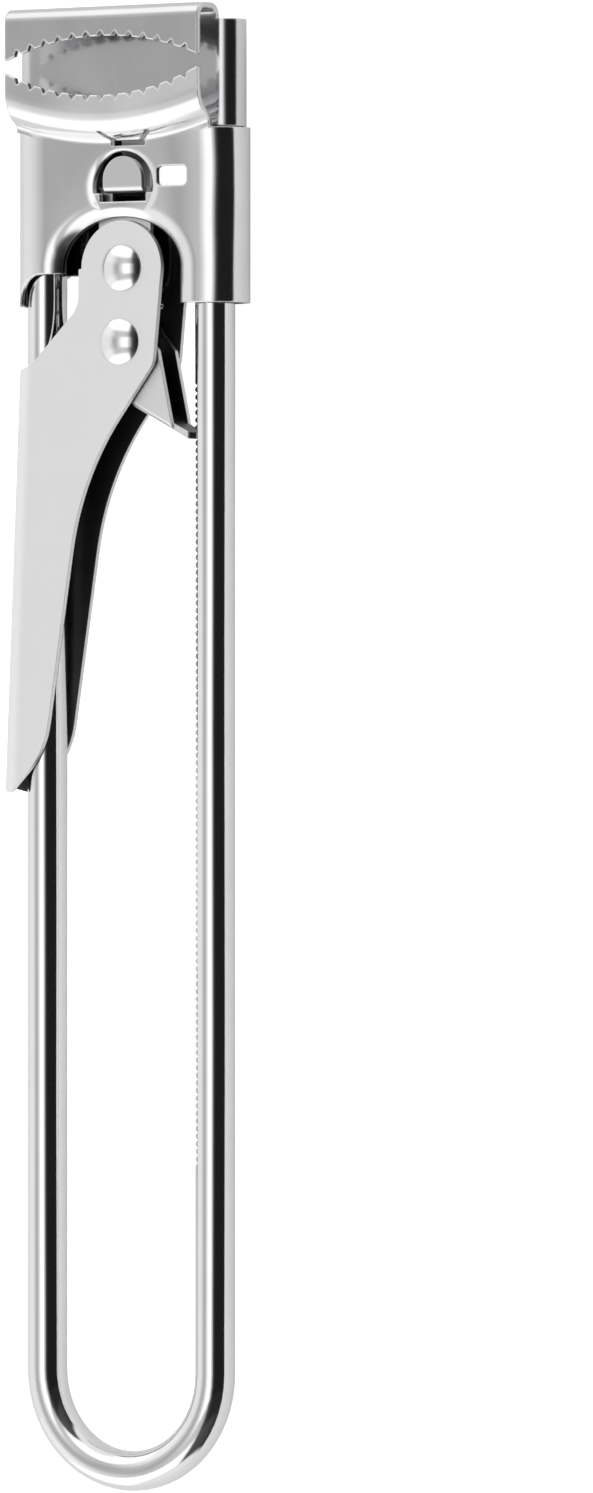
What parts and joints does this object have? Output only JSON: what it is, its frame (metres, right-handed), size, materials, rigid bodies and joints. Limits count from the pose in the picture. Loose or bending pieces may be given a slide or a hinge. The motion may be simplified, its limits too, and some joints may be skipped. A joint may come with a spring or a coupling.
{
  "type": "jar lifter",
  "caption": "Adjustable jar lid gripper: a looped wire handle with a toothed fixed jaw, and a sliding toothed jaw worked by a folding lever, a pawl and a rack cut in one wire leg.",
  "frame": {"origin": "middle of the flat back face of the sliding jaw, with that jaw pushed up against the fixed jaw", "axes": "the tool lies on its back: +Z out of its front, +Y along the wire legs from the loop towards the jaws, +X across, towards the leg with the rack"},
  "size_m": [0.0384, 0.2036, 0.0121],
  "materials": {
    "handle_steel": "polished",
    "jaw_steel": "polished",
    "slider_steel": "polished",
    "bracket_steel": "polished",
    "lever_steel": "satin",
    "pawl_steel": "polished",
    "rivet_steel": "satin",
    "bush_steel": "satin",
    "spring_steel": "satin"
  },
  "bodies": {
    "handle": {"wire_handle": "handle_steel", "upper_jaw": "jaw_steel"},
    "slider": {"slider_body": "slider_steel", "pivot_bracket": "bracket_steel", "pivot_rivet": "rivet_steel", "pivot_bush": "bush_steel"},
    "lever": {"lever": "lever_steel", "pawl_rivet": "rivet_steel", "pawl_bush": "bush_steel", "pawl_spring": "spring_steel"},
    "pawl": {"pawl": "pawl_steel"}
  },
  "joints": [
    {"name": "slider_slide", "type": "slide", "parent": "handle", "child": "slider", "axis": [0, -1, 0], "range_m": [0, 0.078]},
    {"name": "lever_pivot", "type": "hinge", "parent": "slider", "child": "lever", "pos_m": [0.00075, -0.00915, 0.0046], "axis": [0, 0, -1], "range_deg": [0, 22]},
    {"name": "pawl_pivot", "type": "hinge", "parent": "lever", "child": "pawl", "pos_m": [0.0004, -0.01925, 0.0046], "axis": [0, 0, 1], "range_deg": [0, 40], "deforming": ["pawl_spring"]}
  ],
  "couplings": [
    {"joint": "pawl_pivot", "follows": "lever_pivot", "ratio": 1.8}
  ]
}
